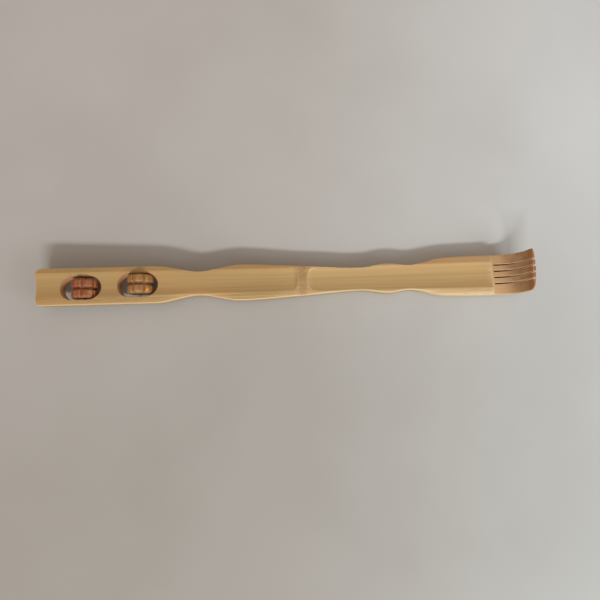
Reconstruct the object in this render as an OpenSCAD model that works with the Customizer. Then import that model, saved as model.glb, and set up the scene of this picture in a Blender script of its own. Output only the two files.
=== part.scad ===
// Bamboo back scratcher with two toothed massage rollers let into its handle.
// Sizes are in millimetres. X runs from the tail to the fingers and Z is up.
// It lies hollow side up on a table at Z = 0, on its rollers and on the back of its palm.

/* [Strip] */
// Length over all, tail to fingertips
overall_len = 470; // [420:1:540]
// Height from the round back to the top of the rims
strip_h = 13.2; // [8:0.1:15]
// Radius of the bamboo skin on the back
skin_r = 100; // [60:1:160]
// Radius of the crown that rounds the rims off
crown_r = 160; // [60:5:600]
// Radius of the two corners at the tail
tail_corner_r = 6; // [2:0.5:12]
// Angle of the saw cut at the tail, off square
tail_slant = 4.4; // [1:0.2:8]
// Tail to the middle of the bamboo node
node_at = 254; // [230:0.1:275]

/* [Outline] */
// Width of the handle round the rollers
handle_w = 35.6; // [31:0.1:42]
// Tail to where the handle starts to narrow
shoulder_at = 113; // [104:0.5:125]
// Width of the waist behind the belly
waist_w = 23; // [18:0.1:28]
// Tail to that waist
waist_at = 154.5; // [142:0.5:165]
// Width of the belly
belly_w = 34.8; // [29:0.1:38]
// Tail to the widest place of the belly
belly_at = 194; // [180:0.5:205]
// Width halfway from the belly to the neck
taper_mid_w = 28.9; // [26:0.1:31]
// Width of the neck, the narrowest place
neck_w = 22.2; // [18:0.1:26]
// Fingertips to the neck
neck_back = 159.5; // [152:0.5:170]
// Width of the bead in front of the neck
bead_w = 28.6; // [25:0.1:32]
// Fingertips to the bead
bead_back = 132.5; // [127:0.5:140]
// Width of the wrist in front of the bead
wrist_w = 23.9; // [20:0.1:27]
// Fingertips to the wrist
wrist_back = 113; // [109:0.5:119]
// Width of the palm where it gets full
palm_w = 36.8; // [33:0.1:42]
// Fingertips to that place on the palm
palm_back = 78; // [73:0.5:86]

/* [Troughs] */
// Radius of the hollow of the bamboo
hollow_r = 36; // [22:0.5:60]
// Rounding where a hollow ends at the node
hollow_end_r = 7; // [4:0.5:10]
// Width of the ridge left at the node
node_ridge = 6.5; // [4:0.5:12]
// Depth of the rear hollow at the tail
tail_depth = 2.7; // [2:0.1:3.6]
// Depth of the rear hollow at the node
rear_depth = 2.1; // [1.5:0.1:3]
// Depth of the front hollow at the node
front_depth = 2.4; // [1.5:0.1:3]
// Depth of the front hollow at the palm
palm_depth = 2.6; // [1.5:0.1:3.2]
// Sideways shift of the rear hollow at the tail
tail_shift = 1.2; // [0:0.1:3]
// Sideways shift of the rear hollow at the node
rear_shift = 2.2; // [0:0.1:3]
// Sideways shift of the front hollow at the node
front_shift = 0.8; // [0:0.1:3]
// Sideways shift of the front hollow at the palm
palm_shift = -0.4; // [-2:0.1:2]
// Depth of the ring round the back at the node
ring_depth = 0.4; // [0.2:0.1:0.8]
// Width of that ring
ring_w = 1.8; // [1:0.1:3]

/* [Head] */
// Length of the head, step to fingertips
head_len = 32; // [31:0.1:42]
// Width of the head
head_w = 39; // [35:0.1:43]
// Drop from the hollow to the head at the step
step_drop = 0.8; // [0.4:0.1:2]
// Thickness of the fingers in the middle
head_t = 4.4; // [3.2:0.1:5]
// Rounding at the foot of the step
step_r = 3; // [1:0.1:4]
// Inside radius of the bend
bend_r = 20; // [14:0.5:24]
// Straight length of the fingers above the bend
tip_len = 9.5; // [5:0.1:12]
// Radius of the outer corner of the hand on the near side
near_tip_r = 3.4; // [0.5:0.1:4.8]
// Radius of its outer corner on the far side
far_tip_r = 1; // [0.5:0.1:4.8]
// Height of the bevel inside the fingertips
bevel_h = 3.6; // [1:0.1:5]
// Depth of that bevel
bevel_d = 1.9; // [0.5:0.1:2.2]
// Number of saw cuts between the fingers
slit_count = 4; // [2:1:6]
// Width of a saw cut
slit_w = 1.1; // [0.6:0.05:1.5]
// Spacing of the saw cuts
slit_pitch = 6.1; // [4:0.1:7]
// Sideways place of the saw cuts
slit_shift = 0.4; // [-2:0.1:2]
// Step to the start of the saw cuts
slit_back = 2.8; // [2:0.1:8]

/* [Rollers] */
// Diameter over the teeth
roller_d = 24.8; // [22:0.1:28]
// Length of a roller
roller_len = 18; // [15:0.1:21]
// Rounding of the tooth rows at their rims
tooth_r = 2.2; // [0.5:0.1:2.5]
// Number of teeth in a row
tooth_count = 7; // [5:1:12]
// Width of the notches between teeth
notch_w = 1.8; // [1:0.1:3]
// Depth of the notches
notch_d = 2; // [1:0.1:4]
// Width of the groove between the two rows
groove_w = 1.8; // [1:0.1:4]
// Depth of that groove
groove_d = 2.2; // [1:0.1:4]
// Turn of the rear roller, top of the strip to a notch
rear_turn = 9.4; // [-25:0.1:25]
// Turn of the front roller
front_turn = -18; // [-25:0.1:25]
// Sideways place of the rear roller in its slot
rear_float = -0.7; // [-2:0.1:2]
// Sideways place of the front roller in its slot
front_float = 0.9; // [-2:0.1:2]

/* [Slots and axles] */
// Tail to the rear axle
rear_axle_at = 43.8; // [39:0.1:47]
// Tail to the front axle
front_axle_at = 97.2; // [92:0.1:100]
// Free space behind a roller
slot_rear_gap = 8.3; // [4:0.1:10]
// Free space in front of a roller
slot_front_gap = 4.9; // [4:0.1:9]
// Free space beside a roller
slot_side_gap = 2.4; // [2.1:0.1:4]
// Sideways place of the rear slot
rear_slot_shift = -1.5; // [-2:0.1:2]
// Diameter of the axle pins
pin_d = 1.8; // [1.4:0.05:2.4]
// Running clearance of a roller round its pin
pin_clear = 0.08; // [0.03:0.01:0.1]
// Set-back of a pin's ends from the sides of the handle
pin_recess = 0.5; // [0.2:0.1:2]
// Height of the rear axle over the back of the strip
rear_axle_z = 4.3; // [3.6:0.1:6]

/* [Hidden] */
$fn = 96;
edge_step = 3;
far = 2 * overall_len;
tail_x = -overall_len / 2;
tip_x = overall_len / 2;
node_x = tail_x + node_at;
belly_x = tail_x + belly_at;
neck_x = tip_x - neck_back;
head_x = tip_x - head_len;
roller_r = roller_d / 2;
slot_len = slot_rear_gap + roller_d + slot_front_gap;
slot_w = roller_len + 2 * slot_side_gap;
pin_len = handle_w - 2 * pin_recess;
root_t = strip_h - palm_depth - step_drop;
bend_out_r = bend_r + head_t;
root_in_r = bend_out_r - root_t - 1;
inside_x = tip_x - head_t;
bend_x = tip_x - bend_out_r;
hook_h = bend_out_r + tip_len;

// Places along the rear half are measured from the node, along its own back
rear_run = node_at - rear_axle_at;
front_run = node_at - front_axle_at;
// The rear half climbs from the node by as much as the rollers stand out of its back
climb = asin(roller_r / norm([rear_run, rear_axle_z])) - atan2(rear_axle_z, rear_run);
front_axle_z = (roller_r - front_run * sin(climb)) / cos(climb);

// Half widths along the strip, from the tail to the head
knots = [
    [tail_x + shoulder_at, handle_w / 2],
    [tail_x + waist_at, waist_w / 2],
    [belly_x, belly_w / 2],
    [(belly_x + neck_x) / 2, taper_mid_w / 2],
    [neck_x, neck_w / 2],
    [tip_x - bead_back, bead_w / 2],
    [tip_x - wrist_back, wrist_w / 2],
    [tip_x - palm_back, palm_w / 2],
    [head_x, head_w / 2]
];
last = len(knots) - 1;

// A smooth curve through the half widths that never overshoots them
function span(x, i = 0) = i >= last - 1 || x < knots[i + 1][0] ? i : span(x, i + 1);
function chord(i) = (knots[i + 1][1] - knots[i][1]) / (knots[i + 1][0] - knots[i][0]);
function mean_slope(a, b) = a * b <= 0 ? 0 : 2 * a * b / (a + b);
function slope(i) = i == 0 || i == last ? 0 : mean_slope(chord(i - 1), chord(i));
function blend(a, b, da, db, t) =
    a * (2 * t * t * t - 3 * t * t + 1) + b * (3 * t * t - 2 * t * t * t)
    + da * (t * t * t - 2 * t * t + t) + db * (t * t * t - t * t);
function half_w(x) =
    let (i = span(x), h = knots[i + 1][0] - knots[i][0])
    blend(knots[i][1], knots[i + 1][1], h * slope(i), h * slope(i + 1), (x - knots[i][0]) / h);

// Plan of the strip, seen from above
module outline() {
    start = knots[0][0];
    steps = ceil((head_x - start) / edge_step);
    curve = [for (i = [0 : steps]) start + (head_x - start) * i / steps];
    upper = [for (x = curve) [x, half_w(x)]];
    lower = [for (i = [steps : -1 : 0]) [curve[i], -half_w(curve[i])]];
    polygon(concat(upper, [[bend_x, head_w / 2], [bend_x, -head_w / 2]], lower));
    translate([tail_x, tail_corner_r - handle_w / 2])
        square([start - tail_x, handle_w - 2 * tail_corner_r]);
    translate([tail_x + tail_corner_r, -handle_w / 2])
        square([start - tail_x - tail_corner_r, handle_w]);
    for (side = [-1, 1])
        translate([tail_x + tail_corner_r, side * (handle_w / 2 - tail_corner_r)])
            circle(tail_corner_r);
}

// Saw cut at the tail, which takes more off on the near side
module tail_cut() {
    translate([tail_x, handle_w / 2 - tail_corner_r, 0])
        rotate([0, 0, tail_slant])
            translate([-far, -far / 2, -far / 2])
                cube(far);
}

// Frame of the rear half, with its zero at the back of the node
module at_rear() {
    translate([node_x, 0, 0])
        rotate([0, climb, 0])
            children();
}

// Round bar along X
module bar(radius, z) {
    translate([0, 0, z])
        rotate([0, 90, 0])
            cylinder(r = radius, h = far, center = true, $fn = 240);
}

// Wall of the bamboo between its skin and its rims, straight and without ends
module wall() {
    intersection() {
        bar(skin_r, skin_r);
        bar(crown_r, strip_h - crown_r);
    }
}

// Front half lies level and the rear half climbs, meeting at a mitre through the node
module crooked_wall() {
    intersection() {
        wall();
        translate([node_x, 0, 0])
            rotate([0, climb / 2, 0])
                translate([0, -far / 2, -far / 2])
                    cube(far);
    }
    intersection() {
        at_rear()
            wall();
        translate([node_x, 0, 0])
            rotate([0, climb / 2, 0])
                translate([-far, -far / 2, -far / 2])
                    cube(far);
    }
}

// Hollow of one length of bamboo, from its rounded end at the node
// It runs along X, and its depth and sideways place change evenly on the way
module hollow(length, depth_a, depth_b, shift_a, shift_b) {
    translate([0, shift_a, strip_h - depth_a + hollow_r])
        rotate([0, 90 - atan2(depth_a - depth_b, length), atan2(shift_b - shift_a, length)])
            rotate_extrude() {
                translate([0, hollow_end_r])
                    square([hollow_r, length]);
                square([hollow_r - hollow_end_r, hollow_end_r]);
                translate([hollow_r - hollow_end_r, hollow_end_r])
                    circle(hollow_end_r);
            }
}

// Slot for a roller with the bore for its pin, run back from the node
module slot(run, axle_z, shift) {
    reach = (slot_len - slot_w) / 2;
    translate([-run, 0, 0]) {
        translate([(slot_front_gap - slot_rear_gap) / 2, shift, -strip_h]) {
            for (side = [-1, 1])
                translate([side * reach, 0, 0])
                    cylinder(d = slot_w, h = 3 * strip_h);
            translate([-reach, -slot_w / 2, 0])
                cube([2 * reach, slot_w, 3 * strip_h]);
        }
        translate([0, 0, axle_z])
            rotate([90, 0, 0])
                cylinder(d = pin_d, h = 2 * handle_w, center = true);
    }
}

// Planing of the head, from the foot of the step to the inside of the fingers
module head_planing() {
    translate([0, head_w, 0])
        rotate([90, 0, 0])
            linear_extrude(2 * head_w)
                difference() {
                    translate([head_x, root_t])
                        square([inside_x - head_x, far]);
                    corner(head_x + step_r, step_r, -1);
                    corner(inside_x - bend_r, bend_r, 1);
                }
}

// Rounding that the planing leaves in its corner, seen from the side
module corner(x, radius, side) {
    translate([x, root_t + radius])
        difference() {
            scale([side, 1])
                translate([0, -2 * radius])
                    square(2 * radius);
            circle(radius);
        }
}

// Section of the head before planing, round on its back, at its distance from the bend's axis
module head_section() {
    intersection() {
        translate([bend_out_r - skin_r, 0])
            circle(skin_r);
        translate([root_in_r, -head_w / 2])
            square([bend_out_r, head_w]);
    }
}

// Outline of the upright fingers seen from the tail, with rounded outer corners
module tip_outline() {
    tip_half(far_tip_r);
    mirror([1, 0])
        tip_half(near_tip_r);
}

module tip_half(radius) {
    square([head_w / 2, tip_len - radius]);
    square([head_w / 2 - radius, tip_len]);
    translate([head_w / 2 - radius, tip_len - radius])
        circle(radius);
}

// Upright part of the fingers, thinned by a bevel inside the tips
module fingertips() {
    difference() {
        intersection() {
            linear_extrude(tip_len)
                head_section();
            rotate([90, 0, 90])
                linear_extrude(2 * bend_out_r)
                    tip_outline();
        }
        translate([bend_r + bevel_d, 0, tip_len])
            rotate([0, atan2(bevel_d, bevel_h), 0])
                translate([-2 * bevel_h, -head_w, -2 * bevel_h])
                    cube([2 * bevel_h, 2 * head_w, 4 * bevel_h]);
    }
}

// Bent head beyond the flat part
module bent_head() {
    translate([bend_x, 0, bend_out_r]) {
        rotate([90, 0, 0])
            rotate([0, 0, -90])
                rotate_extrude(angle = 90)
                    head_section();
        fingertips();
    }
}

// Saw cuts that part the fingers
module slits() {
    start = head_x + slit_back + slit_w / 2;
    for (i = [0 : slit_count - 1])
        translate([start, (i - (slit_count - 1) / 2) * slit_pitch + slit_shift, -strip_h]) {
            translate([0, -slit_w / 2, 0])
                cube([far, slit_w, far]);
            cylinder(d = slit_w, h = far);
        }
}

// Ring that the node leaves round the back
module node_ring() {
    r = (ring_w * ring_w / 4 + ring_depth * ring_depth) / (2 * ring_depth);
    translate([node_x, 0, skin_r])
        rotate([0, 90, 0])
            rotate_extrude()
                translate([skin_r + r - ring_depth, 0])
                    circle(r);
}

module bamboo_strip() {
    color("burlywood")
        difference() {
            union() {
                intersection() {
                    crooked_wall();
                    translate([0, 0, -strip_h])
                        linear_extrude(far)
                            outline();
                }
                bent_head();
            }
            head_planing();
            tail_cut();
            translate([node_x + node_ridge / 2, 0, 0])
                hollow(head_x - node_x, front_depth, palm_depth, front_shift, palm_shift);
            at_rear()
                translate([-node_ridge / 2, 0, 0])
                    mirror([1, 0, 0])
                        hollow(node_at, rear_depth, tail_depth, rear_shift, tail_shift);
            at_rear() {
                slot(rear_run, rear_axle_z, rear_slot_shift);
                slot(front_run, front_axle_z, 0);
            }
            slits();
            node_ring();
        }
}

// One row of teeth before it is notched, as a section round the axle
module tooth_row(width) {
    square([roller_r - tooth_r, width]);
    translate([0, tooth_r])
        square([roller_r, width - 2 * tooth_r]);
    for (y = [tooth_r, width - tooth_r])
        translate([roller_r - tooth_r, y])
            circle(tooth_r);
}

// Turned and notched roller with its bore along Z
module roller(turn) {
    row_w = (roller_len - groove_w) / 2;
    difference() {
        rotate_extrude() {
            translate([0, -roller_len / 2])
                tooth_row(row_w);
            translate([0, groove_w / 2])
                tooth_row(row_w);
            translate([0, -roller_len / 4])
                square([roller_r - groove_d, roller_len / 2]);
        }
        cylinder(d = pin_d + 2 * pin_clear, h = 2 * roller_len, center = true);
        for (i = [0 : tooth_count - 1])
            rotate([0, 0, 90 - turn - i * 360 / tooth_count])
                translate([roller_r - notch_d + notch_w / 2, 0, 0]) {
                    cylinder(d = notch_w, h = 2 * roller_len, center = true);
                    translate([0, -notch_w / 2, -roller_len])
                        cube([2 * notch_d, notch_w, 2 * roller_len]);
                }
    }
}

// Places a roller or pin on its axle in the rear half
module on_axle(run, axle_z) {
    translate([node_x - run * cos(climb) + axle_z * sin(climb), 0, roller_r])
        rotate([90, 0, 0])
            children();
}

module pin() {
    cylinder(d = pin_d, h = pin_len, center = true);
}

module rear_roller() {
    color("sienna")
        on_axle(rear_run, rear_axle_z)
            translate([0, 0, -rear_slot_shift - rear_float])
                roller(rear_turn);
}

module front_roller() {
    color("peru")
        on_axle(front_run, front_axle_z)
            translate([0, 0, -front_float])
                roller(front_turn);
}

module rear_axle() {
    color("silver")
        on_axle(rear_run, rear_axle_z)
            pin();
}

module front_axle() {
    color("silver")
        on_axle(front_run, front_axle_z)
            pin();
}

bamboo_strip();
rear_roller();
front_roller();
rear_axle();
front_axle();
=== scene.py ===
import math

import bpy
import numpy as np
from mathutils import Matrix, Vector, noise


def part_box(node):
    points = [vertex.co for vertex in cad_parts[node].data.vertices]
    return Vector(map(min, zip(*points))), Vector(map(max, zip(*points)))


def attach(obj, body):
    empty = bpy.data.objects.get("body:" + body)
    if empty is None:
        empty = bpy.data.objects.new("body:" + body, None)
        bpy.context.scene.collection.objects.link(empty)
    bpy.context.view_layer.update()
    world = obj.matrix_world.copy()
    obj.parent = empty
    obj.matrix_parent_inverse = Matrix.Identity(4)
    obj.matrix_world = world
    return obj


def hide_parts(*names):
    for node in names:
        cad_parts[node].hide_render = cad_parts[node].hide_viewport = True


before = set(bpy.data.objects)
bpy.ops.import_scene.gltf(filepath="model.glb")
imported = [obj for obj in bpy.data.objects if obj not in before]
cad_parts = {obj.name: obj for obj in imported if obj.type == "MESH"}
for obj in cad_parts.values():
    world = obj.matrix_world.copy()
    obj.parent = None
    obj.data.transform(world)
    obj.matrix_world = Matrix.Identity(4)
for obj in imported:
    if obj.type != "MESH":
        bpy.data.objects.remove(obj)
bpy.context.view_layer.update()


# small helpers

meshLimits = {"weld": 1e-6, "boxMargin": 1e-6, "easeFactor": 0.5}


def tint(red, green, blue):
    # picture colour, 0 to 255, as the linear colour that the shader takes
    shares = [value / 255 for value in (red, green, blue)]
    return tuple(v / 12.92 if v <= 0.04045 else ((v + 0.055) / 1.055) ** 2.4 for v in shares) + (1.0,)


def deselectAll():
    if bpy.context.object and bpy.context.object.mode != "OBJECT":
        bpy.ops.object.mode_set(mode="OBJECT")
    bpy.ops.object.select_all(action="DESELECT")


def pick(piece):
    deselectAll()
    piece.select_set(True)
    bpy.context.view_layer.objects.active = piece


def applyModifier(piece, kind, settings):
    pick(piece)
    modifier = piece.modifiers.new(kind.lower(), kind)
    for key, value in settings.items():
        setattr(modifier, key, value)
    bpy.ops.object.modifier_apply(modifier=modifier.name)


def smoothStep(low, high, values):
    share = np.clip((values - low) / (high - low), 0.0, 1.0)
    return share * share * (3 - 2 * share)


def readMesh(mesh):
    count = len(mesh.vertices)
    places = np.zeros(count * 3)
    normals = np.zeros(count * 3)
    mesh.vertices.foreach_get("co", places)
    mesh.vertex_normals.foreach_get("vector", normals)
    return places.reshape(-1, 3), normals.reshape(-1, 3)


def writePlaces(mesh, places):
    mesh.vertices.foreach_set("co", places.ravel())
    mesh.update()


def storeShare(mesh, name, values):
    layer = mesh.attributes.new(name, "FLOAT", "POINT")
    layer.data.foreach_set("value", np.ascontiguousarray(values, dtype=np.float32))


def storeVector(mesh, name, values):
    layer = mesh.attributes.new(name, "FLOAT_VECTOR", "POINT")
    layer.data.foreach_set("vector", np.ascontiguousarray(values, dtype=np.float32).ravel())


def curvature(mesh, places, normals):
    # above 0 on outer edges, below 0 in creases, in 1/m
    ends = np.zeros(len(mesh.edges) * 2, dtype=np.int64)
    mesh.edges.foreach_get("vertices", ends)
    first, second = ends.reshape(-1, 2).T
    step = places[second] - places[first]
    bend = ((normals[second] - normals[first]) * step).sum(1) / np.maximum((step * step).sum(1), 1e-12)
    total = np.bincount(first, bend, len(places)) + np.bincount(second, bend, len(places))
    links = np.bincount(first, minlength=len(places)) + np.bincount(second, minlength=len(places))
    return total / np.maximum(links, 1)


def softCopy(nodeName, pieceName, shape, axis=None):
    # copy of a solid with its corners eased, as after sanding, except in a bore round an axis along Y
    piece = bpy.data.objects.new(pieceName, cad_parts[nodeName].data.copy())
    bpy.context.collection.objects.link(piece)
    piece.data.name = pieceName
    piece.data.materials.clear()
    pick(piece)
    bpy.ops.object.mode_set(mode="EDIT")
    bpy.ops.mesh.select_all(action="SELECT")
    bpy.ops.mesh.remove_doubles(threshold=meshLimits["weld"])
    bpy.ops.object.mode_set(mode="OBJECT")
    applyModifier(piece, "REMESH", {"mode": "VOXEL", "voxel_size": shape["voxel"]})
    easing = {"factor": meshLimits["easeFactor"], "iterations": shape["easing"]}
    if axis:
        outside = [vertex.index for vertex in piece.data.vertices
                   if math.hypot(vertex.co.x - axis[0], vertex.co.z - axis[1]) > shape["boreKeep"]]
        piece.vertex_groups.new(name="outside").add(outside, 1.0, "REPLACE")
        easing["vertex_group"] = "outside"
    applyModifier(piece, "SMOOTH", easing)
    return piece


def thinOut(piece, triangles):
    now = sum(len(face.vertices) - 2 for face in piece.data.polygons)
    if now > triangles:
        applyModifier(piece, "DECIMATE", {"ratio": triangles / now})
    pick(piece)
    bpy.ops.object.shade_smooth()


def keepInside(piece, nodeName):
    # nothing reaches out of the box of the solid
    low, high = (np.array(corner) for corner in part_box(nodeName))
    places = readMesh(piece.data)[0]
    writePlaces(piece.data, np.clip(places, low + meshLimits["boxMargin"], high - meshLimits["boxMargin"]))


# shader helpers

def newFinish(name):
    finish = bpy.data.materials.new(name)
    finish.use_nodes = True
    return finish, finish.node_tree, finish.node_tree.nodes["Principled BSDF"]


def addNode(tree, kind, inputs=None, **settings):
    node = tree.nodes.new(kind)
    for key, value in settings.items():
        setattr(node, key, value)
    for key, value in (inputs or {}).items():
        if isinstance(value, bpy.types.NodeSocket):
            tree.links.new(value, node.inputs[key])
        else:
            node.inputs[key].default_value = value
    return node


def share(tree, name):
    return addNode(tree, "ShaderNodeAttribute", attribute_name=name).outputs["Fac"]


def mixTint(tree, factor, first, second, blend="MIX"):
    inputs = {0: factor, 6: first, 7: second}
    return addNode(tree, "ShaderNodeMix", inputs, data_type="RGBA", blend_type=blend).outputs[2]


def stain(tree, base, shareName, amount, colour):
    return mixTint(tree, combine(tree, "MULTIPLY", share(tree, shareName), amount), base, colour)


def remap(tree, value, low, high, toLow=0.0, toHigh=1.0):
    node = addNode(tree, "ShaderNodeMapRange",
                   {"Value": value, "From Min": low, "From Max": high, "To Min": toLow, "To Max": toHigh},
                   interpolation_type="SMOOTHSTEP")
    return node.outputs["Result"]


def combine(tree, operation, first, second):
    return addNode(tree, "ShaderNodeMath", {0: first, 1: second}, operation=operation).outputs[0]


def grainNoise(tree, place, scale, detail=2.0, start=0.0, warp=0.0):
    mapped = addNode(tree, "ShaderNodeMapping",
                     {"Vector": place, "Scale": scale, "Location": (start, start, start)})
    node = addNode(tree, "ShaderNodeTexNoise",
                   {"Vector": mapped.outputs["Vector"], "Scale": 1.0, "Detail": detail, "Distortion": warp})
    return node.outputs["Fac"]


def roughen(tree, shader, height, strength, distance):
    bump = addNode(tree, "ShaderNodeBump", {"Strength": strength, "Distance": distance, "Height": height})
    tree.links.new(bump.outputs["Normal"], shader.inputs["Normal"])


# camera, floor and light

cameraSetup = {"place": (0.01378, -0.08125, 0.45532), "turn": (8.0, 0.0, -1.9), "lens": 27.9,
               "sensor": 36.0, "clipStart": 0.01}
# the floor's tint from left to right is a painted pool of light, and its darker near side is painted shade
floorSetup = {"size": 8.0, "height": -0.00015, "left": (185, 182, 178), "right": (207, 210, 211),
              "near": (231, 229, 226), "patch": (247, 246, 245),
              "spanX": (-0.1, 0.45), "spanY": (0.2, -0.25), "cloud": ((5, 5, 5), 4.0),
              "cloudBand": (0.35, 0.7), "roughness": 0.75, "gloss": 0.2}
lightSetup = {
    "window": {"place": (0.04, -4.94, 3.40), "width": 2.7, "tall": 0.5, "power": 252.0,
               "tint": (0.93, 0.97, 1.0)},
    "rightFill": {"place": (0.88, -0.6, 0.5), "width": 0.5, "tall": 0.5, "power": 4.6,
                  "tint": (0.72, 0.93, 1.0)},
    "room": {"tint": (1.0, 0.84, 0.73, 1.0), "strength": 0.535},
}


def makeCamera():
    deselectAll()
    turn = [math.radians(angle) for angle in cameraSetup["turn"]]
    bpy.ops.object.camera_add(location=cameraSetup["place"], rotation=turn)
    camera = bpy.context.object
    camera.name = "photoCamera"
    camera.data.sensor_width = cameraSetup["sensor"]
    camera.data.lens = cameraSetup["lens"]
    camera.data.clip_start = cameraSetup["clipStart"]
    bpy.context.scene.camera = camera
    print("camera set")


def makeFloor():
    deselectAll()
    bpy.ops.mesh.primitive_plane_add(size=floorSetup["size"], location=(0, 0, floorSetup["height"]))
    floor = bpy.context.object
    floor.name = "paleFloor"
    finish, tree, shader = newFinish("palePaper")
    place = addNode(tree, "ShaderNodeTexCoord").outputs["Object"]
    patches = remap(tree, grainNoise(tree, place, *floorSetup["cloud"]), *floorSetup["cloudBand"])
    spread = addNode(tree, "ShaderNodeSeparateXYZ", {"Vector": place}).outputs
    # painted light: lighter towards the right, and painted shade darker towards the near side
    litToRight = remap(tree, spread["X"], *floorSetup["spanX"])
    shadeToNear = remap(tree, spread["Y"], *floorSetup["spanY"])
    ground = mixTint(tree, litToRight, tint(*floorSetup["left"]), tint(*floorSetup["right"]))
    ground = mixTint(tree, shadeToNear, ground, tint(*floorSetup["near"]), "MULTIPLY")
    ground = mixTint(tree, patches, ground, tint(*floorSetup["patch"]), "MULTIPLY")
    tree.links.new(ground, shader.inputs["Base Color"])
    shader.inputs["Roughness"].default_value = floorSetup["roughness"]
    shader.inputs["Specular IOR Level"].default_value = floorSetup["gloss"]
    floor.data.materials.append(finish)
    print("floor laid")


def makeLight(name, setup):
    deselectAll()
    turn = (-Vector(setup["place"])).to_track_quat("-Z", "Y").to_euler()
    bpy.ops.object.light_add(type="AREA", location=setup["place"], rotation=turn)
    lamp = bpy.context.object
    lamp.name = name
    lamp.data.shape = "RECTANGLE"
    lamp.data.size = setup["width"]
    lamp.data.size_y = setup["tall"]
    lamp.data.energy = setup["power"]
    lamp.data.color = setup["tint"]


def makeRoom():
    world = bpy.data.worlds.new("softRoom")
    world.use_nodes = True
    world.node_tree.nodes["Background"].inputs["Color"].default_value = lightSetup["room"]["tint"]
    world.node_tree.nodes["Background"].inputs["Strength"].default_value = lightSetup["room"]["strength"]
    bpy.context.scene.world = world
    makeLight("windowLight", lightSetup["window"])
    makeLight("rightFillLight", lightSetup["rightFill"])
    bpy.context.scene.view_settings.view_transform = "Standard"
    print("light set")


# bamboo strip

stripShape = {
    "voxel": 0.0003, "easing": 4, "triangles": 190000,
    "nodeX": 0.019, "climb": math.radians(2.2093),     # where the rear half starts to climb
    "rimTop": 0.0132, "crownRadius": 0.16, "skinRadius": 0.1,
    "bendX": 0.2106, "bendZ": 0.0244, "bendOut": 0.0244, "bendMiddle": 0.0224,
    "edgeSpan": (-0.236, 0.2041), "edgeStep": 0.001,     # the outline is looked up at each step
    # rounding of the rims' outer edges on the handle, the neck and the palm: place, width and drop
    "roundX": (0.0, 0.035, 0.13, 0.15), "roundWidth": (0.005, 0.002, 0.002, 0.0068),
    "roundDrop": (0.0008, 0.0002, 0.0002, 0.0009), "roundEnd": (0.213, 0.203), "roundUp": (0.0067, 0.0107),
    "farShare": 0.4,     # the far edge of the handle is rounded less
    "skew": 0.052, "skewBack": 0.0002, "skewX": (0.204, 0.224),     # the hand is bent slightly askew
    "cutY": (-0.00875, -0.00265, 0.00345, 0.00955),     # middles of the saw cuts
    "hollowRelief": 0.000016, "rimRelief": 0.000008, "nodeRelief": 0.00013, "skinCalm": 0.8,
    "fibreGrain": (25, 500, 500), "knotGrain": ((420, 520), 3.0), "tornGrain": ((1100, 900), 8.0),
    "knot": 0.7, "torn": 0.5, "sunk": 0.15,
}
# where each mark starts and is full, its half width, or its amount
stripMarks = {
    "probe": 0.0004, "facingFront": (0.3, 0.7), "facingBack": (-0.3, -0.7), "facingSide": (0.35, 0.75),
    "facingUp": (0.1, 0.5), "hollowDepth": (0.0001, 0.0006), "skinDepth": (0.0012, 0.0004),
    "nodeHalf": 0.0042, "nodeLeast": 0.02, "nodeHighlightStart": (0.0205, 0.0225), "nodeHighlightEnd": (0.034, 0.028),
    "ringX": 0.0198, "ringHalf": 0.0007, "ringMost": 0.6,
    "footUp": (0.0098, 0.0062), "footEnd": (0.15, 0.12), "footInset": (0.0045, 0.003), "footMost": 0.8,
    "tailShade": (0.04, -0.02), "tailShadeEnd": (-0.1, -0.22), "tailShadeLeast": 0.35, "tailShadeMore": 0.15, "tailShadeRim": 0.45,
    "nearRimHighlightX": (0.13, 0.15), "nearRimHighlightWidth": (0.0013, 0.0056), "nearRimHighlightCore": 0.25,
    "nearRimHighlightAcross": (-0.004, -0.009), "nearRimHighlightUp": (0.004, 0.007),
    "hand": (0.2024, 0.2036), "stepX": 0.2036, "stepHalf": 0.001,
    "scorch": (0.2135, 0.2335), "scorchSlant": 0.3, "tip": (0.2502, 0.2518),
    "cutWidth": (0.00075, 0.00045), "cutStart": (0.2058, 0.2062), "cutEnd": (0.2515, 0.2485),
    "cutHighlightX": (0.2165, 0.2225),
    "slotInset": (0.0032, 0.0045), "slotFront": (-0.1, -0.104), "slotRear": (-0.228, -0.224),
    "edgeBend": (250, 900), "creaseBend": (-250, -900),     # in 1/m
}
bambooFinish = {
    "rim": (187, 157, 112), "hollow": (183, 152, 103), "skin": (192, 162, 100), "side": (192, 160, 110),
    "foot": (150, 118, 74), "tailShade": (219, 209, 184), "nearRimHighlight": (240, 224, 190), "blush": (196, 146, 92),
    "streakDark": (158, 122, 72), "streakPale": (222, 196, 146), "bundle": (122, 84, 46),
    "hand": (195, 156, 115), "stepHighlight": (226, 196, 156), "scorch": (138, 98, 62), "tip": (152, 96, 54),
    "cutRootShade": (104, 60, 28), "cutHighlight": (244, 220, 182), "slotWall": (206, 148, 102),
    "slotRimShade": (122, 88, 50), "scar": (140, 97, 50), "nodeLipHighlight": (232, 198, 140),
    "skinRing": (142, 104, 60), "speck": (70, 46, 28), "grimeAndShade": (66, 44, 26), "worn": (226, 200, 152),
}
# how strongly each stain, painted shade and painted highlight covers the bamboo, and how its gloss changes
bambooAmount = {"nearRimHighlight": 0.26, "bundle": 0.45, "hand": 0.75, "stepHighlight": 0.5, "scorch": 0.8, "tip": 0.85,
                "slotWall": 0.85, "slotRimShade": 0.75, "nodeLipHighlight": 0.7, "speck": 0.3, "grimeAndShade": 0.65,
                "gloss": 0.4, "nodeRough": 0.2, "skinPolish": 0.12}
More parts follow.
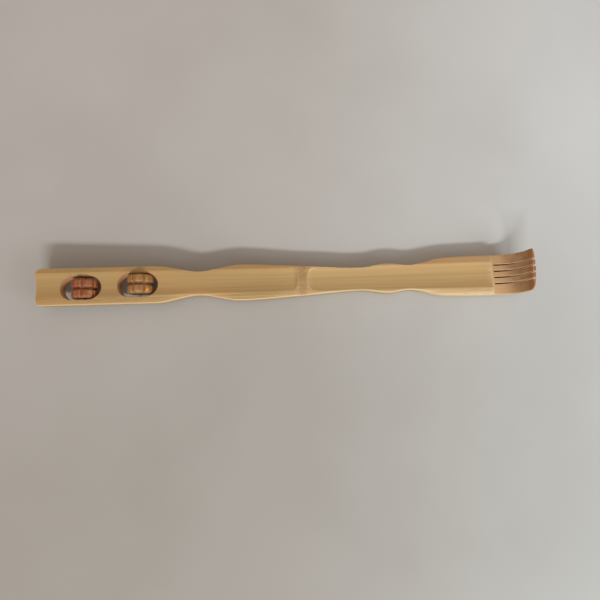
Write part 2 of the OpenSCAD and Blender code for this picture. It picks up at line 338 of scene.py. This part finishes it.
# noise along the fibres: scale, detail, start and warp
bambooGrain = {
    "blotch": ((14, 55, 55), 3.0, 4.0), "long": ((5, 520, 520), 3.0, 1.0, 0.3),
    "fine": ((18, 1700, 1700), 2.0, 7.0), "bundle": ((70, 1500, 1500), 1.0, 12.0),
    "scorch": ((120, 160, 160), 3.0, 2.0), "tissue": ((600, 500, 500), 4.0, 5.0),
    "speck": ((900, 750, 750), 2.0, 9.0),
}
# band of that noise which shows, and its least and most share
bambooBand = {
    "blotch": (0.42, 0.72, 0.0, 0.35), "longDark": (0.5, 0.78, 0.0, 0.34),
    "longPale": (0.48, 0.25, 0.0, 0.28), "fineDark": (0.52, 0.8, 0.0, 0.22), "bundle": (0.63, 0.72),
    "scorch": (0.25, 0.75, 0.55, 1.0), "scar": (0.3, 0.65, 0.12, 0.42), "speck": (0.6, 0.68),
    "worn": (0.3, 0.6, 0.2, 0.6), "rough": (0.2, 0.8, 0.35, 0.52),
}
bambooBump = {"long": 0.5, "fine": 0.6, "bundle": 0.4, "tissue": 1.5, "strength": 0.3, "distance": 0.0001}


def stripPlace(places):
    # place along the fibres, across the strip and up from the skin, unrolled over the climb and the bend
    x, y, z = places.T
    turn = stripShape["climb"]
    offX = x - stripShape["nodeX"]
    backX = offX * math.cos(turn) - z * math.sin(turn)
    backZ = offX * math.sin(turn) + z * math.cos(turn)
    rear = backX < 0
    along = np.where(rear, stripShape["nodeX"] + backX, x)
    up = np.where(rear, backZ, z)
    middle = stripShape["bendMiddle"]
    reachX = x - stripShape["bendX"]
    drop = stripShape["bendZ"] - z
    angle = np.arctan2(reachX, np.maximum(drop, 1e-9))
    bent = (reachX > 0) & (drop > 0)
    upright = (reachX > 0) & (drop <= 0)
    along = np.where(bent, stripShape["bendX"] + middle * angle, along)
    up = np.where(bent, stripShape["bendOut"] - np.hypot(reachX, drop), up)
    along = np.where(upright, stripShape["bendX"] + middle * math.pi / 2 - drop, along)
    up = np.where(upright, stripShape["bendOut"] - reachX, up)
    return np.stack([along, y, up], 1)


def stripEdges(places):
    # far and near edge of the strip along its length
    step = stripShape["edgeStep"]
    steps = np.arange(*stripShape["edgeSpan"], step)
    index = np.clip(np.round((places[:, 0] - steps[0]) / step).astype(int), 0, len(steps) - 1)
    far, near = np.full(len(steps), -step), np.full(len(steps), step)
    np.maximum.at(far, index, places[:, 1])
    np.minimum.at(near, index, places[:, 1])
    return steps, far, near


def rimRound(places, edges):
    # distance from the outer edge, and how far the rim is rounded down there
    x, y = places[:, 0], places[:, 1]
    far, near = np.interp(x, edges[0], edges[1]), np.interp(x, edges[0], edges[2])
    inset = np.maximum(np.where(y > 0, far - y, y - near), 0.0)
    width = np.interp(x, stripShape["roundX"], stripShape["roundWidth"])
    depth = np.interp(x, stripShape["roundX"], stripShape["roundDrop"])
    depth = depth * np.where((y > 0) & (x < stripShape["roundX"][1]), stripShape["farShare"], 1.0)
    return inset, depth * np.clip(1 - inset / width, 0, 1) ** 2 * smoothStep(*stripShape["roundEnd"], x)


def stripShares(places, normals, edges):
    marks = stripMarks
    fibre = stripPlace(places)
    along, across, up = fibre.T
    lifted = stripPlace(places + normals * marks["probe"])
    facing = (lifted[:, 2] - up) / marks["probe"]
    crown, back = stripShape["crownRadius"], stripShape["skinRadius"]
    rim = stripShape["rimTop"] - crown + np.sqrt(crown ** 2 - across ** 2) - rimRound(places, edges)[1]
    skinUp = back - np.sqrt(back ** 2 - across ** 2)
    handle = 1 - smoothStep(*marks["hand"], along)
    hollow = smoothStep(*marks["hollowDepth"], rim - up) * smoothStep(*marks["facingFront"], facing)
    hollow = hollow * handle
    skin = smoothStep(*marks["skinDepth"], up - skinUp) * smoothStep(*marks["facingBack"], facing)
    side = 1 - smoothStep(*marks["facingSide"], np.abs(facing))
    ridge = np.exp(-((along - stripShape["nodeX"]) / marks["nodeHalf"]) ** 4)
    ridge = ridge * smoothStep(*marks["facingUp"], facing)
    return fibre, hollow, skin, side, ridge, handle


def scaledNoise(values, scale, layer=None):
    # noise at a place, or in one flat layer along and across
    scaled = [value * factor for value, factor in zip(values, scale)]
    return noise.noise(Vector(scaled if layer is None else scaled + [layer]))


def reliefStrip(strip):
    # rounded rims, the hand's skew, fibres that stand proud in the hollow, and a torn, knotty node
    places = readMesh(strip.data)[0]
    edges = stripEdges(places)
    fibre = stripPlace(places)
    places[:, 2] -= rimRound(places, edges)[1] * smoothStep(*stripShape["roundUp"], fibre[:, 2])
    skewed = stripShape["skew"] * places[:, 1] - stripShape["skewBack"]
    places[:, 0] += skewed * smoothStep(*stripShape["skewX"], places[:, 0])
    writePlaces(strip.data, places)
    places, normals = readMesh(strip.data)
    fibre, hollow, skin, side, ridge, handle = stripShares(places, normals, edges)
    lift = np.zeros(len(places))
    for index, place in enumerate(fibre):
        proud = stripShape["rimRelief"] + stripShape["hollowRelief"] * hollow[index]
        lift[index] = scaledNoise(place, stripShape["fibreGrain"]) * proud
        if ridge[index] > stripMarks["nodeLeast"]:
            knot = stripShape["knot"] * scaledNoise(place, *stripShape["knotGrain"])
            torn = stripShape["torn"] * scaledNoise(place, *stripShape["tornGrain"])
            lift[index] += ridge[index] * stripShape["nodeRelief"] * (knot + torn - stripShape["sunk"])
    lift *= 1 - stripShape["skinCalm"] * skin
    writePlaces(strip.data, places + normals * lift[:, None])
    return edges


def makeBamboo():
    finish, tree, shader = newFinish("splitBamboo")
    fibre = addNode(tree, "ShaderNodeAttribute", attribute_name="fibre").outputs["Vector"]
    colour = {name: tint(*value) for name, value in bambooFinish.items()}
    grain = {name: grainNoise(tree, fibre, *settings) for name, settings in bambooGrain.items()}
    band, amount, relief = bambooBand, bambooAmount, bambooBump

    # ground colour of each cut
    base = mixTint(tree, share(tree, "sideShare"), colour["rim"], colour["side"])
    base = mixTint(tree, share(tree, "hollowShare"), base, colour["hollow"])
    base = mixTint(tree, share(tree, "skinShare"), base, colour["skin"])
    # painted shade: the rear half darker towards the tail and on its rims
    base = mixTint(tree, share(tree, "tailShadeShare"), base, colour["tailShade"], "MULTIPLY")
    # painted highlight along the palm's near rim
    base = stain(tree, base, "nearRimHighlightShare", amount["nearRimHighlight"], colour["nearRimHighlight"])
    base = mixTint(tree, remap(tree, grain["blotch"], *band["blotch"]), base, colour["blush"])

    # long fibres, pale and dark, and the denser, browner wall next to the skin
    base = mixTint(tree, remap(tree, grain["long"], *band["longDark"]), base, colour["streakDark"])
    base = mixTint(tree, remap(tree, grain["long"], *band["longPale"]), base, colour["streakPale"])
    base = mixTint(tree, remap(tree, grain["fine"], *band["fineDark"]), base, colour["streakDark"])
    base = mixTint(tree, share(tree, "footShare"), base, colour["foot"])

    # short brown bundles where the wall is cut
    bundles = remap(tree, grain["bundle"], *band["bundle"])
    whole = combine(tree, "MAXIMUM", share(tree, "hollowShare"), share(tree, "skinShare"))
    bundles = combine(tree, "MULTIPLY", bundles, combine(tree, "SUBTRACT", 1.0, whole))
    base = mixTint(tree, combine(tree, "MULTIPLY", bundles, amount["bundle"]), base, colour["bundle"])

    # heat-bent hand and a painted highlight on the lip of its step
    base = stain(tree, base, "handShare", amount["hand"], colour["hand"])
    base = stain(tree, base, "stepHighlightShare", amount["stepHighlight"], colour["stepHighlight"])
    scorch = remap(tree, grain["scorch"], *band["scorch"])
    scorch = combine(tree, "MULTIPLY", share(tree, "scorchShare"), scorch)
    base = mixTint(tree, combine(tree, "MULTIPLY", scorch, amount["scorch"]), base, colour["scorch"])
    base = stain(tree, base, "tipShare", amount["tip"], colour["tip"])

    # walls of the saw cuts, painted shade at their root and a painted highlight between the fingers, and of
    # the slots, with painted shade along the slots' rims
    cutWallShadeAndHighlight = mixTint(tree, share(tree, "cutHighlightShare"), colour["cutRootShade"], colour["cutHighlight"])
    base = mixTint(tree, share(tree, "cutShare"), base, cutWallShadeAndHighlight)
    base = stain(tree, base, "slotShare", amount["slotWall"], colour["slotWall"])
    # painted shade along the rims of the slots
    base = stain(tree, base, "slotRimShadeShare", amount["slotRimShade"], colour["slotRimShade"])

    # node, a painted highlight on its lip, painted shade in the creases, and wear
    scar = combine(tree, "MULTIPLY", share(tree, "nodeShare"), remap(tree, grain["tissue"], *band["scar"]))
    base = mixTint(tree, scar, base, colour["scar"])
    # painted highlight on the lip at the hollow's end by the node
    base = stain(tree, base, "nodeLipHighlightShare", amount["nodeLipHighlight"], colour["nodeLipHighlight"])
    base = mixTint(tree, share(tree, "skinRingShare"), base, colour["skinRing"])
    specks = remap(tree, grain["speck"], *band["speck"])
    specks = combine(tree, "MULTIPLY", specks, share(tree, "nodeShare"))
    base = mixTint(tree, combine(tree, "MULTIPLY", specks, amount["speck"]), base, colour["speck"])
    # painted shade in the creases
    base = stain(tree, base, "creaseShadeShare", amount["grimeAndShade"], colour["grimeAndShade"])
    worn = combine(tree, "MULTIPLY", share(tree, "edgeShare"), remap(tree, grain["long"], *band["worn"]))
    base = mixTint(tree, worn, base, colour["worn"])
    tree.links.new(base, shader.inputs["Base Color"])

    roughNode = combine(tree, "MULTIPLY", share(tree, "nodeShare"), amount["nodeRough"])
    polished = combine(tree, "MULTIPLY", share(tree, "skinShare"), amount["skinPolish"])
    rough = combine(tree, "ADD", remap(tree, grain["fine"], *band["rough"]), roughNode)
    tree.links.new(combine(tree, "SUBTRACT", rough, polished), shader.inputs["Roughness"])
    shader.inputs["Specular IOR Level"].default_value = amount["gloss"]

    height = combine(tree, "ADD", combine(tree, "MULTIPLY", grain["long"], relief["long"]),
                     combine(tree, "MULTIPLY", grain["fine"], relief["fine"]))
    height = combine(tree, "SUBTRACT", height, combine(tree, "MULTIPLY", bundles, relief["bundle"]))
    tissue = combine(tree, "MULTIPLY", grain["tissue"], share(tree, "nodeShare"))
    height = combine(tree, "ADD", height, combine(tree, "MULTIPLY", tissue, relief["tissue"]))
    roughen(tree, shader, height, relief["strength"], relief["distance"])
    return finish


def markStrip(mesh, edges):
    # shares of the strip's cuts, stains, edges, painted shade and painted highlights, which its finish
    # reads
    marks = stripMarks
    places, normals = readMesh(mesh)
    fibre, hollow, skin, side, ridge, handle = stripShares(places, normals, edges)
    along, across, up = fibre.T
    inset = rimRound(places, edges)[0]
    bend = curvature(mesh, places, normals)
    storeVector(mesh, "fibre", fibre)
    storeShare(mesh, "hollowShare", hollow)
    storeShare(mesh, "skinShare", skin)
    storeShare(mesh, "sideShare", side)
    storeShare(mesh, "footShare", marks["footMost"] * side * handle * smoothStep(*marks["footUp"], up)
               * smoothStep(*marks["footEnd"], along) * smoothStep(*marks["footInset"], inset))
    storeShare(mesh, "nodeShare", ridge)
    storeShare(mesh, "skinRingShare", marks["ringMost"] * skin
               * np.exp(-((along - marks["ringX"]) / marks["ringHalf"]) ** 2))
    # painted highlight on the lip of the hollow next to the node
    storeShare(mesh, "nodeLipHighlightShare", 4 * hollow * (1 - hollow) * smoothStep(*marks["nodeHighlightStart"], along)
               * smoothStep(*marks["nodeHighlightEnd"], along))
    storeShare(mesh, "handShare", 1 - handle)
    # painted shade over the rear half, darker towards the tail and on the rims
    storeShare(mesh, "tailShadeShare", smoothStep(*marks["tailShade"], along)
               * (marks["tailShadeLeast"] + marks["tailShadeMore"] * smoothStep(*marks["tailShadeEnd"], along)
                  + marks["tailShadeRim"] * (1 - hollow)))
    # painted highlight along the near rim of the palm
    nearRimHighlightWidth = np.interp(along, marks["nearRimHighlightX"], marks["nearRimHighlightWidth"])
    storeShare(mesh, "nearRimHighlightShare", smoothStep(nearRimHighlightWidth, marks["nearRimHighlightCore"] * nearRimHighlightWidth, inset) * handle
               * smoothStep(*marks["nearRimHighlightAcross"], across) * smoothStep(*marks["nearRimHighlightUp"], up))
    # painted highlight on the lip of the step
    storeShare(mesh, "stepHighlightShare", np.exp(-((along - marks["stepX"]) / marks["stepHalf"]) ** 2)
               * smoothStep(*marks["facingUp"], normals[:, 2]))
    storeShare(mesh, "scorchShare", smoothStep(*marks["scorch"], along + marks["scorchSlant"] * across))
    storeShare(mesh, "tipShare", smoothStep(*marks["tip"], along))
    # painted shade at the root of the saw cuts and a painted highlight on their walls between the fingers
    fromCut = np.min([np.abs(across - y) for y in stripShape["cutY"]], axis=0)
    storeShare(mesh, "cutShare", smoothStep(*marks["cutWidth"], fromCut)
               * smoothStep(*marks["cutStart"], along) * smoothStep(*marks["cutEnd"], along))
    storeShare(mesh, "cutHighlightShare", smoothStep(*marks["cutHighlightX"], places[:, 0]))
    slotZone = (smoothStep(*marks["slotInset"], inset) * smoothStep(*marks["slotFront"], along)
                * smoothStep(*marks["slotRear"], along))
    edge = smoothStep(*marks["edgeBend"], bend)
    storeShare(mesh, "slotShare", side * slotZone)
    # painted shade on the slots' rim edges
    storeShare(mesh, "slotRimShadeShare", edge * slotZone)
    storeShare(mesh, "edgeShare", edge * (1 - slotZone))
    # painted shade in concave creases
    storeShare(mesh, "creaseShadeShare", smoothStep(*marks["creaseBend"], bend))


def makeStrip():
    strip = softCopy("bamboo_strip", "bambooStrip", stripShape)
    edges = reliefStrip(strip)
    thinOut(strip, stripShape["triangles"])
    keepInside(strip, "bamboo_strip")
    markStrip(strip.data, edges)
    strip.data.materials.append(makeBamboo())
    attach(strip, "scratcher")
    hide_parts("bamboo_strip")
    print("bamboo strip made,", len(strip.data.polygons), "faces")


# rollers

rollerShape = {"voxel": 0.00026, "easing": 50, "triangles": 70000, "radius": 0.0124, "boreKeep": 0.003}
# where grime with painted shade and wear lie: depth under the teeth, half widths of the groove and the
# tooth rows, bend in 1/m
rollerMarks = {"sunk": (0.0005, 0.0017), "grooveHalf": 0.0014, "rowsHalf": 0.0085, "notchGrimeAndShade": 0.25,
               "spotCore": 0.55, "edgeBend": (350, 1100)}
rollerGrain = {
    "heart": (0.021, 0.0, -0.013),     # the rings' middle lies outside the roller
    "rings": {"Scale": 55.0, "Distortion": 5.0, "Detail": 2.0, "Detail Scale": 1.2},
    "ringBand": (0.3, 0.9, 0.0, 0.55), "flow": ((210, 110, 210), 3.0), "flowWarp": 0.6,
    "flowPale": (0.5, 0.75, 0.0, 0.3), "flowDark": (0.45, 0.25, 0.0, 0.22),
    "rough": (0.2, 0.8, 0.38, 0.55), "gloss": 0.4,
    "pores": ((1500, 320, 1500), 2.0), "poreStart": 5, "poreBand": (0.6, 0.7), "pore": 0.16,
    "grimeAndShade": 0.7, "worn": 0.3, "flowBump": 0.6, "poreBump": 0.5, "strength": 0.25, "distance": 0.0001,
}
rollerFinishes = {
    "rearRoller": {
        "node": "rear_roller", "body": "rear_wheel", "slot": "dark_wood", "axis": (-0.190878, 0.0124),
        "ground": (153, 91, 52), "ring": (121, 65, 38), "pale": (182, 124, 78), "pore": (88, 44, 26),
        "grimeAndShade": (88, 36, 20), "start": 3.0,
        "spot": (-0.1810, -0.0056, 0.0199), "spotTint": (184, 136, 84),
        "spotReach": 0.0042, "spotShare": 0.6,
    },
    "frontRoller": {
        "node": "front_roller", "body": "front_wheel", "slot": "light_wood", "axis": (-0.137438, 0.0124),
        "ground": (160, 116, 68), "ring": (135, 91, 50), "pale": (184, 141, 90), "pore": (108, 66, 36),
        "grimeAndShade": (104, 60, 32), "start": 17.0,
        "spot": (-0.1282, -0.0053, 0.0207), "spotTint": (222, 150, 48),
        "spotReach": 0.0021, "spotShare": 0.85,
    },
}


def makeRollerWood(name, wood):
    finish, tree, shader = newFinish(name + "Wood")
    grain = rollerGrain
    colour = {key: tint(*wood[key]) for key in ("ground", "ring", "pale", "pore", "grimeAndShade", "spotTint")}
    place = addNode(tree, "ShaderNodeTexCoord").outputs["Object"]
    toHeart = (grain["heart"][0] - wood["axis"][0], grain["heart"][1], grain["heart"][2] - wood["axis"][1])
    centred = addNode(tree, "ShaderNodeMapping", {"Vector": place, "Location": toHeart})
    rings = addNode(tree, "ShaderNodeTexWave", {"Vector": centred.outputs["Vector"], **grain["rings"]},
                    wave_type="RINGS", rings_direction="Y").outputs["Fac"]
    flow = grainNoise(tree, place, *grain["flow"], wood["start"], grain["flowWarp"])
    pores = grainNoise(tree, place, *grain["pores"], wood["start"] + grain["poreStart"])
    pores = remap(tree, pores, *grain["poreBand"])
    base = mixTint(tree, remap(tree, rings, *grain["ringBand"]), colour["ground"], colour["ring"])
    base = mixTint(tree, remap(tree, flow, *grain["flowPale"]), base, colour["pale"])
    base = mixTint(tree, remap(tree, flow, *grain["flowDark"]), base, colour["ring"])
    base = mixTint(tree, combine(tree, "MULTIPLY", pores, grain["pore"]), base, colour["pore"])
    # grime and painted shade in the groove and the notches
    base = stain(tree, base, "grooveShare", grain["grimeAndShade"], colour["grimeAndShade"])
    base = stain(tree, base, "edgeShare", grain["worn"], colour["pale"])
    base = mixTint(tree, share(tree, "spotShare"), base, colour["spotTint"])
    tree.links.new(base, shader.inputs["Base Color"])
    tree.links.new(remap(tree, flow, *grain["rough"]), shader.inputs["Roughness"])
    shader.inputs["Specular IOR Level"].default_value = grain["gloss"]
    height = combine(tree, "SUBTRACT", combine(tree, "MULTIPLY", flow, grain["flowBump"]),
                     combine(tree, "MULTIPLY", pores, grain["poreBump"]))
    roughen(tree, shader, height, grain["strength"], grain["distance"])
    return finish


def makeRoller(name, wood):
    roller = softCopy(wood["node"], name, rollerShape, wood["axis"])
    thinOut(roller, rollerShape["triangles"])
    keepInside(roller, wood["node"])
    mesh = roller.data
    marks = rollerMarks
    places, normals = readMesh(mesh)
    under = rollerShape["radius"] - np.hypot(places[:, 0] - wood["axis"][0], places[:, 2] - wood["axis"][1])
    offMiddle = np.abs(places[:, 1] - places[:, 1].mean())
    # grime and painted shade in the groove and notches
    zones = [offMiddle < marks["grooveHalf"], offMiddle < marks["rowsHalf"]]
    grimeAndShade = np.select(zones, [1.0, marks["notchGrimeAndShade"]], 0.0)
    storeShare(mesh, "grooveShare", grimeAndShade * smoothStep(*marks["sunk"], under))
    fromSpot = np.linalg.norm(places - np.array(wood["spot"]), axis=1)
    reach = wood["spotReach"]
    spot = smoothStep(reach, marks["spotCore"] * reach, fromSpot)
    storeShare(mesh, "spotShare", wood["spotShare"] * spot)
    storeShare(mesh, "edgeShare", smoothStep(*marks["edgeBend"], curvature(mesh, places, normals)))
    mesh.materials.append(makeRollerWood(name, wood))
    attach(roller, wood["body"])
    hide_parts(wood["node"])
    print(name, "made,", len(mesh.polygons), "faces")


# axle pins

pinShape = {"radius": 0.0009, "vertices": 48, "rounding": 0.00025, "segments": 4, "smoothAngle": 40}
wireFinish = {
    "steel": (150, 150, 150), "dull": (104, 100, 96), "rust": (104, 66, 40),
    "lines": ((2600, 60, 2600), 3.0, 2.0), "lineBand": (0.35, 0.65),
    "stain": ((350, 350, 350), 4.0, 6.0), "rustBand": (0.58, 0.72, 0.0, 0.6),
    "rough": (0.3, 0.7, 0.28, 0.5), "strength": 0.3, "distance": 0.00003,
}


def makeSteel():
    finish, tree, shader = newFinish("drawnWire")
    colour = {key: tint(*wireFinish[key]) for key in ("steel", "dull", "rust")}
    place = addNode(tree, "ShaderNodeTexCoord").outputs["Object"]
    lines = grainNoise(tree, place, *wireFinish["lines"])
    rusty = grainNoise(tree, place, *wireFinish["stain"])
    base = mixTint(tree, remap(tree, lines, *wireFinish["lineBand"]), colour["steel"], colour["dull"])
    base = mixTint(tree, remap(tree, rusty, *wireFinish["rustBand"]), base, colour["rust"])
    tree.links.new(base, shader.inputs["Base Color"])
    tree.links.new(remap(tree, rusty, *wireFinish["rough"]), shader.inputs["Roughness"])
    shader.inputs["Metallic"].default_value = 1.0
    roughen(tree, shader, lines, wireFinish["strength"], wireFinish["distance"])
    return finish


def makePin(name, node, steel):
    low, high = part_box(node)
    deselectAll()
    bpy.ops.mesh.primitive_cylinder_add(
        vertices=pinShape["vertices"], radius=pinShape["radius"], depth=high.y - low.y,
        location=(low + high) / 2, rotation=(math.pi / 2, 0, 0))
    pin = bpy.context.object
    pin.name = name
    bpy.ops.object.transform_apply(location=True, rotation=True, scale=True)
    bpy.ops.object.mode_set(mode="EDIT")
    bpy.ops.mesh.select_mode(type="EDGE")
    bpy.ops.mesh.select_all(action="DESELECT")
    bpy.ops.object.mode_set(mode="OBJECT")
    for edge in pin.data.edges:     # the rims of both ends
        ends = [pin.data.vertices[i].co.y for i in edge.vertices]
        edge.select = abs(ends[0] - ends[1]) < meshLimits["weld"]
    bpy.ops.object.mode_set(mode="EDIT")
    bpy.ops.mesh.bevel(offset=pinShape["rounding"], segments=pinShape["segments"], affect="EDGES")
    bpy.ops.object.mode_set(mode="OBJECT")
    pick(pin)
    bpy.ops.object.shade_smooth_by_angle(angle=math.radians(pinShape["smoothAngle"]))
    pin.data.materials.append(steel)
    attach(pin, "scratcher")
    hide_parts(node)
    print(name, "made")


makeCamera()
makeFloor()
makeRoom()
makeStrip()
for rollerName, rollerWood in rollerFinishes.items():
    makeRoller(rollerName, rollerWood)
wire = makeSteel()
makePin("rearPin", "rear_axle", wire)
makePin("frontPin", "front_axle", wire)
